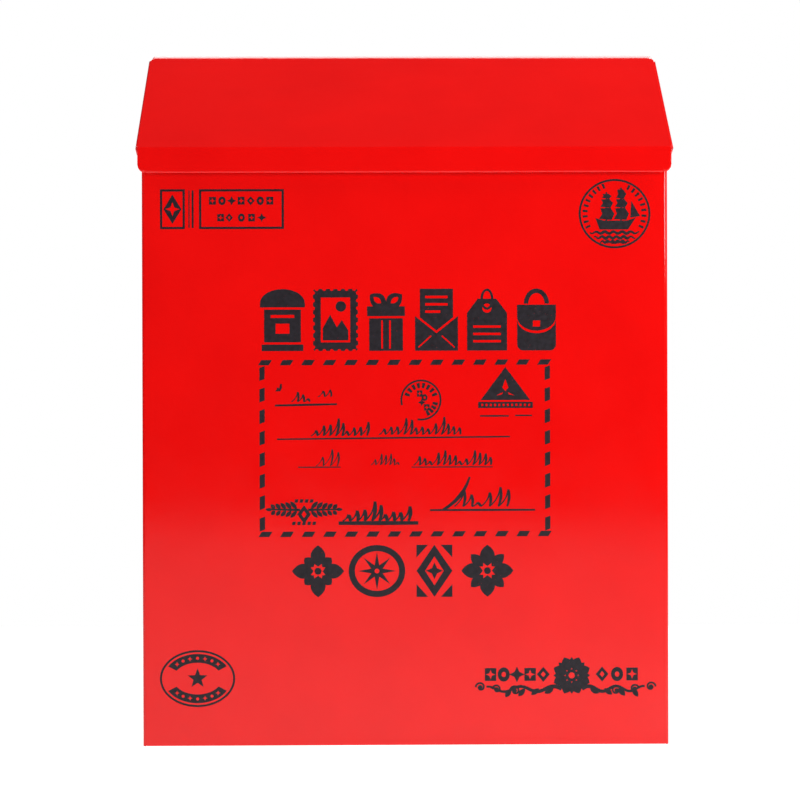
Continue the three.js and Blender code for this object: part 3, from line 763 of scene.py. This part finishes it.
def print_postmark():
    """A round cancel, worn away at the lower left, with blocks round its rim and in its middle."""
    x, z = 7.7, 169.9
    shapes = [[sector(x, z, 9.2, 10.1, -100, 195, 48)]]
    for start, end, count in ((22, 158, 8), (-62, -14, 4)):
        for a in spread(start, end, count - 1):
            shapes.append([sector(x, z, 5.9, 8.5, a - 5.5, a + 5.5, 3)])
    for i, (dx, dz) in enumerate(((-0.6, 3.2), (1.8, 1.2), (0.4, -1.2), (2.9, -3.6))):
        shapes.append(type_mark(MARKS[i], x + dx, z + dz, 1.7))
    return shapes


def print_triangle_stamp():
    """A solid triangular stamp with a knocked-out kite, over a rough bar and a broken rule."""
    x, base, top = 49.3, 169.8, 186.1
    cuts = [[(x, base + 10.4), (x + 1.5, base + 6.2), (x, base + 4.4), (x - 1.5, base + 6.2)]]
    for side in (-1, 1):
        cuts.append([(x + side * dx, base + dz) for dx, dz in ((1.2, 3.9), (4.6, 2.2), (1.6, 2.8))])
    shapes = [[[(x - 12.2, base), (x + 12.2, base), (x, top)], *cuts]]
    bar = rectangle(35.9, 62.8, 165.9, 168.9)
    holes = [rectangle(37.4 + i * 2.1, 38.4 + i * 2.1, 166.8, 168.0) for i in range(12)]
    shapes.append([bar, *holes])
    shapes += [rule(36.8, 51.0, 162.0, 0.7), rule(54.0, 62.4, 162.2, 0.6)]
    return shapes


def print_address():
    """Ruled lines and pen waves in place of an address."""
    shapes = [rule(-64.2, -33.7, 167.7, 0.9, 0.3), rule(-63.2, 51.5, 151.3, 0.7, 0.5)]
    shapes.append(rule(12.0, 63.8, 115.7, 0.9))
    shapes += scribble(-56.0, -47.0, 169.2, 9.0, 1.2, 3)
    shapes += scribble(-43.0, -36.5, 171.6, 9.4, 1.0, 4)
    shapes += scribble(-63.8, -62.0, 174.4, 6.6, 1.1, 5)
    shapes += scribble(-46.4, -19.0, 152.4, 10.6, 1.3, 11)
    shapes += scribble(-13.0, 27.0, 152.9, 10.2, 1.2, 23)
    shapes += scribble(-44.0, -33.6, 137.6, 11.0, 0.9, 31)
    shapes += scribble(-17.0, -3.2, 138.0, 8.0, 0.8, 37)
    shapes += scribble(4.0, 42.0, 137.8, 9.6, 1.2, 41)
    shapes += scribble(24.0, 50.0, 117.4, 13.5, 1.5, 53)
    shapes += [rule(-52.9, -32.0, 137.0, 0.5), rule(3.0, 43.0, 136.9, 0.5)]
    shapes.append([ribbon(bent((18.6, 115.9), (31.6, 132.0), -0.1), [1.3, 2.0, 0.9])])
    return shapes


def leaf(x, z, length, width, angle):
    """A pointed leaf from (x, z)."""
    a = math.radians(angle)
    outline = []
    for side, places in ((1, spread(0, 1, 8)), (-1, spread(1, 0, 8)[1:-1])):
        for t in places:
            along, out = t * length, side * width / 2 * math.sin(math.pi * t) ** 0.8
            across = along * math.cos(a) - out * math.sin(a)
            outline.append((x + across, z + along * math.sin(a) + out * math.cos(a)))
    return outline


def print_sprig():
    """Bottom left of the border: a spray of leaves each way from a lozenge, and a bold scrawl beside it."""
    x, z = -50.0, 115.4
    shapes = [[lozenge(x, z - 1.6, 3.4, 4.6), lozenge(x, z - 1.6, 1.2, 1.8)]]
    for side, turn in ((0, 1), (180, -1)):
        for i in range(5):
            start = x + turn * (3.4 + 2.7 * i)
            shapes.append([leaf(start, z + 1.0, 5.2 - 0.5 * i, 2.1, side + turn * 48)])
            shapes.append([leaf(start, z + 0.2, 4.8 - 0.5 * i, 2.0, side - turn * 46)])
        shapes.append([ribbon([(x + turn * 2, z + 0.6), (x + turn * 16.0, z + 0.8)], [1.3, 0.7])])
        shapes.append([leaf(x + turn * 15.4, z + 0.8, 3.6, 1.6, side)])
    for dz, count in ((5.0, 4), (-6.0, 5)):
        for i in range(count):
            place = x + (i - (count - 1) / 2) * 2.5
            shapes.append([slanted(place, z + dz, 1.6, 1.7, 0.2)])
    shapes += scribble(-31.0, 1.5, 110.4, 12.0, 1.9, 61)
    shapes.append(rule(-33.0, 6.2, 109.4, 1.7))
    return shapes


def petals(x, z, inner, outer, width, count, turn=0.0):
    shapes = []
    for i in range(count):
        a = turn + 360 * i / count
        c, s = math.cos(math.radians(a)), math.sin(math.radians(a))
        shapes.append([leaf(x + inner * c, z + inner * s, outer - inner, width, a)])
    return shapes


def print_ornaments():
    """A row of four bold printer's ornaments."""
    low, high = 73.0, 98.6
    mid, half = (low + high) / 2, (high - low) / 2
    shapes = []
    for x, rx in ((-43.2, 10.7), (40.2, 13.0)):
        shapes += petals(x, mid, 2.2, half, 7.4, 4, 90)
        shapes += petals(x, mid, 3.0, min(rx, half) - 1.4, 5.2, 4, 45)
        shapes.append([ellipse(x, mid, 1.7, 1.7, 20)])
    x = -14.2
    shapes.append(ring(x, mid, 13.9, half, 3.0))
    shapes.append([star(x, mid, 9.2, 3.0, 8), ellipse(x, mid, 1.2, 1.2, 16)])
    x = 14.1
    shapes.append([lozenge(x, mid, 8.8, half), lozenge(x, mid, 4.6, 7.2)])
    shapes.append([star(x, mid, 4.2, 1.8, 4)])
    for side in (-1, 1):
        for edge, inward in ((low, 6.2), (high, -6.2)):
            shapes.append([[(x + side * 8.8, edge), (x + side * 3.2, edge), (x + side * 8.8, edge + inward)]])
    return shapes


def print_badge():
    """Bottom left: an oval badge with dark bands above and below a star."""
    x, z, rx, rz = -102.6, 33.2, 18.5, 14.0
    shapes = [ring(x, z, rx, rz, 1.0)]
    spread = 60
    for centre in (90, 270):
        outer = bow(x, z, rx - 1.9, rz - 1.9, centre - spread, centre + spread, 24)
        inner = bow(x, z, rx - 6.6, rz - 6.2, centre + spread, centre - spread, 24)
        holes = []
        for k in range(-3, 4):
            a = math.radians(centre + k * 15)
            place = (x + (rx - 4.3) * math.cos(a), z + (rz - 4.0) * math.sin(a))
            holes.append(star(*place, 1.3, 0.5, 4) if k % 2 else ellipse(*place, 0.8, 0.8, 12))
        shapes.append([outer + inner, *holes])
    shapes.append([star(x, z, 5.0, 2.1)])
    return shapes


def spiral(x, z, radius, turns, start, direction, weight):
    """A scroll that winds in to (x, z), as short overlapping strokes."""
    steps = 14
    strokes = []
    points = []
    for i in range(int(steps * turns) + 1):
        t = i / (steps * turns)
        a = math.radians(start) + direction * 2 * math.pi * turns * t
        r = radius * (1 - 0.82 * t)
        points.append((x + r * math.cos(a), z + r * math.sin(a)))
    for i in range(0, len(points) - 2, 4):
        strokes.append([ribbon(points[i:i + 6], [weight, weight])])
    strokes.append([ellipse(x, z, weight * 1.1, weight * 1.1, 16)])
    return strokes


def print_flourish():
    """Bottom right: a bold rosette between rows of printer's marks, over a vine that ends in scrolls."""
    x, z = 81.6, 34.0
    shapes = petals(x, z, 2.4, 9.6, 5.4, 8, 22.5) + petals(x, z, 4.6, 9.0, 2.2, 8)
    shapes.append(ring(x, z, 3.0, 3.0, 1.5, 24))
    shapes += mark_row(41.6, 67.6, z + 0.6, 3.5, 5) + mark_row(96.6, 111.4, z + 0.6, 3.5, 3, 4)
    for side, reach in ((-1, 45.0), (1, 39.0)):
        vine = [(x + side * (5 + (reach - 8) * t / 24), z - 6.6 + 1.3 * math.sin(t * 0.6)) for t in range(25)]
        shapes.append([ribbon(vine, [2.0, 1.5, 1.0])])
        for place, rise, radius in ((reach, 1.0, 2.4), (reach - 8, 0.0, 2.2), (reach - 17, -0.8, 2.6)):
            shapes += spiral(x + side * place, z - 6.6 + rise, radius, 1.3, 90 - side * 90, side, 0.9)
        for k in range(4):
            shapes.append([leaf(x + side * (9 + 7 * k), z - 6.4, 5.0, 2.6, 270 + side * (62 - 10 * k))])
    return shapes


# ------------------------------------------------------------ bottom door
def door_sheet():
    """The door in the underside: front and side edges rolled over inside, and a hole for the lock."""
    low, high = box_mm("bottom_door")
    half, front, rear = high.x, low.y, high.y
    roll = (2 * SHEET + 0.1) / 2
    bm = bmesh.new()
    xs = spread(-half + roll, half - roll, 24)
    ys = spread(front + roll, rear, 8)
    grid_faces(bm, [[(x, y, low.z) for x in reversed(xs)] for y in ys])
    turn = arc((0, low.z + roll), roll, 270, 90, 8) + [(DOOR_HEM - roll, low.z + 2 * roll)]
    grid_faces(bm, [[(x, front + roll + across, z) for x in xs[1:-1]] for across, z in turn])
    side_ys = [y for y in ys if front + DOOR_HEM < y < rear - DOOR_HEM * 2]
    for side in (-1, 1):
        along = side_ys if side < 0 else side_ys[::-1]
        grid_faces(bm, [[(side * (half - roll - across), y, z) for y in along] for across, z in turn])
    mesh = mesh_of(bm, "door_sheet")
    align_faces(mesh, Vector((0, 0, -1)))
    lock = JOINT_AT["lock_turn"]
    hole = [(x + lock.x, y + lock.y) for x, y in double_d(LOCK_HOLE, LOCK_HOLE_FLAT)]
    cutter = new_object("cutter", plate([hole], low.z - 2, low.z + 4))
    cut = ("BOOLEAN", {"object": cutter, "operation": "DIFFERENCE", "solver": "EXACT"})
    mesh = settled(mesh, [thickened(SHEET), cut, edge_round(SHEET_EDGE)])
    bpy.data.objects.remove(cutter)
    add_piece("door_sheet", mesh, "red_enamel", "door", ["bottom_door"])


# ------------------------------------------------------------ strip hinges
KNUCKLES = 7
KNUCKLE_GAP = 0.5
BARREL = 2.0
LEAF_SHEET = 0.7
LEAF_WIDTH = 14
ROLL_END = -218  # degrees round the barrel, from 90 at the top


def hinge_leaf(node_name, body, length, even, place):
    """A strip with knuckles cut in its edge and rolled round the pin."""
    bm = bmesh.new()
    pitch = length / KNUCKLES
    edge = -BARREL - KNUCKLE_GAP
    stops = [-length / 2]
    rolls = []
    for i in range(0 if even else 1, KNUCKLES, 2):
        start = -length / 2 + i * pitch + KNUCKLE_GAP / 2
        rolls.append((start, start + pitch - KNUCKLE_GAP))
        stops += rolls[-1]
    stops = sorted({round(x, 4) for x in stops + [length / 2]})
    grid_faces(bm, [[(x, y, BARREL) for x in stops] for y in (-LEAF_WIDTH, -9, -5, edge)])
    for start, end in rolls:
        section = [(edge, BARREL)] + arc((0, 0), BARREL, 90, ROLL_END, 28)
        grid_faces(bm, [[(round(x, 4), y, z) for x in (start, end)] for y, z in section])
    mesh = mesh_of(bm, node_name)
    align_faces(mesh, Vector((0, 0, 1)))
    mesh.transform(place)
    mesh = settled(mesh, [thickened(LEAF_SHEET), edge_round(NODE_EDGE)])
    add_piece(node_name.replace("_leaf", "_rolled_leaf"), mesh, "zinc_steel", body, [node_name])


def hinge_pin(node_name, place):
    """A drawn pin with its ends chamfered."""
    low, high = box_mm(node_name)
    half, radius, chamfer = high.x, (high.z - low.z) / 2, 0.3
    profile = [(0, -half), (radius - chamfer, -half), (radius, -half + chamfer)]
    profile += [(r, -h) for r, h in reversed(profile)]
    mesh = turned(node_name, profile, 32)
    mesh.transform(place @ Matrix.Rotation(math.radians(90), 4, "Y"))
    name = node_name.replace("_pin", "_drawn_pin")
    add_piece(name, settled(mesh, []), "zinc_steel", "root", [node_name])


def hinges():
    half_turn = Matrix.Rotation(math.pi, 4, "Z")
    lid_place = Matrix.Translation(LID_AXIS * MM)
    door_place = Matrix.Translation(DOOR_AXIS * MM)
    down = Matrix.Rotation(-math.pi / 2, 4, "X")
    lid_length = 2 * box_mm("lid_hinge_fixed_leaf")[1].x
    door_length = 2 * box_mm("door_hinge_fixed_leaf")[1].x
    hinge_leaf("lid_hinge_fixed_leaf", "root", lid_length, True, lid_place @ down @ half_turn)
    sloped = Matrix.Rotation(LID_SLOPE, 4, "X")
    hinge_leaf("lid_hinge_moving_leaf", "lid", lid_length, False, lid_place @ sloped)
    hinge_leaf("door_hinge_fixed_leaf", "root", door_length, True, door_place @ down)
    hinge_leaf("door_hinge_moving_leaf", "door", door_length, False,
               door_place @ Matrix.Rotation(math.pi, 4, "X") @ half_turn)
    hinge_pin("lid_hinge_pin", lid_place)
    hinge_pin("door_hinge_pin", door_place)


# ------------------------------------------------------------ cam lock
LOCK_BORE = 4.4
BARREL_FLAT = 5
BARREL_THREAD = 6
THREAD_PITCH = 1.0
THREAD_DEPTH = 0.35
THREAD_ROWS = 64
LOCK_HOLE = 6.2
LOCK_HOLE_FLAT = 5.2
NUT_APOTHEM = 8.6 * math.cos(math.radians(30))
CAM_CORNER = 3
CAM_HOLE = 2.8


def double_d(radius, flat, steps=48):
    """A circle with a flat on its left and right, from above."""
    return [(max(-flat, min(flat, x)), y) for x, y in arc((0, 0), radius, 0, 360, steps)[:-1]]


def turned(name, profile, sides, shape=None, bored=False):
    """A solid of revolution about z from (radius, height) points; shape may change a radius."""
    rows = []
    for radius, height in profile + ([profile[0]] if bored else []):
        row = []
        for i in range(sides + 1):
            angle = 2 * math.pi * (i % sides) / sides
            reach = shape(radius, angle, height) if shape else radius
            row.append((reach * math.cos(angle), reach * math.sin(angle), height))
        rows.append(row)
    bm = bmesh.new()
    grid_faces(bm, rows)
    bmesh.ops.remove_doubles(bm, verts=bm.verts, dist=0.002 * MM)
    bmesh.ops.recalc_face_normals(bm, faces=bm.faces)
    return mesh_of(bm, name, weld=0.002)


def add_lock_piece(name, node_name, mesh, material, body, modifiers=()):
    lock = JOINT_AT["lock_turn"]
    mesh.transform(Matrix.Translation(Vector((lock.x, lock.y, 0)) * MM))
    add_piece(name, settled(mesh, modifiers), material, body, [node_name])


def lock_body():
    """The lock's chromed body: a chamfered head, and a threaded barrel with two flats."""
    low, high = box_mm("lock_housing")
    head, head_top = high.x, low.z + 1.95
    first, last = head_top + 0.2, high.z - 0.7

    def shape(radius, angle, height):
        if height <= head_top or radius <= LOCK_BORE:
            return radius
        if first < height < last:
            place = (height / THREAD_PITCH - angle / (2 * math.pi)) % 1
            radius -= THREAD_DEPTH * (1 - abs(2 * place - 1))
        return min(radius, BARREL_FLAT / max(abs(math.cos(angle)), 1e-6))

    profile = [(LOCK_BORE, low.z + 0.25), (LOCK_BORE + 0.25, low.z), (head - 0.8, low.z)]
    profile += [(head - 0.3, low.z + 0.25), (head, low.z + 0.8), (head, head_top - 0.15)]
    profile += [(head - 0.15, head_top), (BARREL_THREAD, head_top + 0.01)]
    profile += [(BARREL_THREAD, height) for height in spread(first, last, THREAD_ROWS)]
    profile += [(BARREL_THREAD - 0.5, high.z), (LOCK_BORE, high.z)]
    mesh = turned("lock_body", profile, 96, shape, bored=True)
    add_lock_piece("lock_body", "lock_housing", mesh, "lock_chrome", "door")


def lock_hex_nut():
    low, high = box_mm("lock_nut")
    round_off, chamfer = NUT_APOTHEM + 0.1, 0.5

    def shape(radius, angle, height):
        if radius < NUT_APOTHEM:
            return radius
        edge = NUT_APOTHEM / math.cos((angle - math.pi / 2) % (math.pi / 3) - math.pi / 6)
        at_face = min(height - low.z, high.z - height) < chamfer / 2
        return min(edge, round_off) if at_face else edge

    profile = [(LOCK_HOLE, low.z + 0.3), (LOCK_HOLE + 0.3, low.z)]
    profile += [(NUT_APOTHEM, z) for z in (low.z, low.z + chamfer, high.z - chamfer, high.z)]
    profile += [(LOCK_HOLE + 0.3, high.z), (LOCK_HOLE, high.z - 0.3)]
    mesh = turned("lock_hex_nut", profile, 96, shape, bored=True)
    add_lock_piece("lock_hex_nut", "lock_nut", mesh, "zinc_steel", "door")


def lock_toothed_washer():
    low, high = box_mm("lock_washer")
    outer, teeth = high.x, 24

    def shape(radius, angle, height):
        return radius - 0.9 if radius >= outer and (angle * teeth / (2 * math.pi)) % 1 > 0.45 else radius

    inner = LOCK_HOLE + 0.1
    profile = [(inner, low.z), (outer, low.z), (outer, high.z), (inner, high.z)]
    mesh = turned("lock_toothed_washer", profile, 96, shape, bored=True)
    add_lock_piece("lock_toothed_washer", "lock_washer", mesh, "zinc_steel", "door")


def cam_plate():
    """A stamped plate with a round end about the lock, a square hole and a tip with its corners cut."""
    low, high = box_mm("lock_cam")
    half, tip = high.y - JOINT_AT["lock_turn"].y, high.x
    outline = arc((0, 0), half, 90, 270, 32) + [(tip - CAM_CORNER, -half)]
    outline += arc((tip - CAM_CORNER, -half + CAM_CORNER), CAM_CORNER, -90, 0, 8)
    outline += arc((tip - CAM_CORNER, half - CAM_CORNER), CAM_CORNER, 0, 90, 8)
    mesh = plate([outline, rectangle(-CAM_HOLE, CAM_HOLE, -CAM_HOLE, CAM_HOLE)], low.z, high.z)
    add_lock_piece("cam_plate", "lock_cam", mesh, "zinc_steel", "lock", [edge_round(0.2)])


# ------------------------------------------------------------ CAD nodes that stay
def finish_node(name, material):
    """The CAD solid with its own material, smooth round faces and slightly rounded edges."""
    kept = frame["nodes"][name]
    kept.data.materials.clear()
    kept.data.materials.append(MATERIALS[material])
    smooth_faces(kept.data)
    modify(kept, *edge_round(NODE_EDGE))


def finish_nodes():
    for row in frame["record"]["subparts"]:
        if not frame["nodes"][row["node"]].hide_render:
            finish_node(row["node"], row["material_slot"])


# ------------------------------------------------------------ studio
FLOOR_Z = -95
FLOOR_NEAR, FLOOR_FAR, FLOOR_HALF = -3900, 1600, 2600
FLOOR_GLOW = 0.7


def softbox(name, place, size, power, target=(0, 0, 0.17)):
    """A square lamp that faces its target, in metres and watts."""
    data = bpy.data.lights.new(name, "AREA")
    data.shape = "SQUARE"
    data.size = size
    data.energy = power
    made = new_object(name, data)
    made.location = place
    made.rotation_euler = (Vector(target) - made.location).to_track_quat("-Z", "Y").to_euler()


def studio():
    softbox("key_right", (0.85, -0.95, 0.55), 0.5, 10)
    softbox("fill_left", (-1.6, -1.5, 0.9), 0.9, 0.8)
    softbox("top_right", (1.5, -0.2, 1.9), 1.2, 29)
    softbox("top_left", (-1.4, -0.1, 1.9), 1.2, 18)
    softbox("rear", (0.2, 2.0, 1.6), 1.4, 22, (0, 0.3, 0.1))
    world = bpy.data.worlds.new("studio")
    world.use_nodes = True
    tree = world.node_tree
    back = tree.nodes["Background"]
    path = node(tree, "ShaderNodeLightPath")
    mix = node(tree, "ShaderNodeMix", data_type="RGBA")
    mix.inputs["A"].default_value = grey(0.09)
    mix.inputs["B"].default_value = grey(1.0)
    tree.links.new(path.outputs["Is Camera Ray"], mix.inputs["Factor"])
    tree.links.new(mix.outputs["Result"], back.inputs["Color"])
    bpy.context.scene.world = world
    bpy.context.scene.view_settings.view_transform = "Standard"


def floor():
    """A pale sheet below the open door's reach; its front end gives the sheen on the enamel an edge."""
    bm = bmesh.new()
    ys = (FLOOR_NEAR, 0, FLOOR_FAR)
    grid_faces(bm, [[(x, y, FLOOR_Z) for x in (-FLOOR_HALF, 0, FLOOR_HALF)] for y in ys])
    mesh = mesh_of(bm, "floor")
    made = new_object("floor", mesh)
    material, tree, shader = new_material("pale_floor")
    feed(tree, shader, "Base Color", noise(tree, 3, 4), grey(0.48), grey(0.54))
    shader.inputs["Roughness"].default_value = 0.8
    shader.inputs["Emission Color"].default_value = grey(1)
    shader.inputs["Emission Strength"].default_value = FLOOR_GLOW
    mesh.materials.append(material)


CAMERA_LENS = 108.8
CAMERA_DISTANCE = 1187.0
CAMERA_OFFSET = -16.3
CAMERA_HEIGHT = 170.0
CAMERA_YAW = -0.658
CAMERA_ROLL = 0.166


def camera():
    data = bpy.data.cameras.new("camera")
    data.lens = CAMERA_LENS
    data.sensor_width = 36
    made = new_object("camera", data)
    made.location = Vector((CAMERA_OFFSET, LID_LOW.y - CAMERA_DISTANCE, CAMERA_HEIGHT)) * MM
    turn = (
        Matrix.Rotation(math.radians(CAMERA_ROLL), 3, "Y")
        @ Matrix.Rotation(math.radians(CAMERA_YAW), 3, "Z")
        @ Matrix.Rotation(math.radians(90), 3, "X")
    )
    made.rotation_euler = turn.to_euler()
    bpy.context.scene.camera = made


camera()
studio()
floor()
body_sheet()
lid_sheet()
door_sheet()
hinges()
lock_body()
lock_hex_nut()
lock_toothed_washer()
cam_plate()
for draw in (
    print_border, print_boxes, print_seal, print_pictograms, print_postmark, print_triangle_stamp,
    print_address, print_sprig, print_ornaments, print_badge, print_flourish,
):
    add_print(draw.__name__, draw())
finish_nodes()
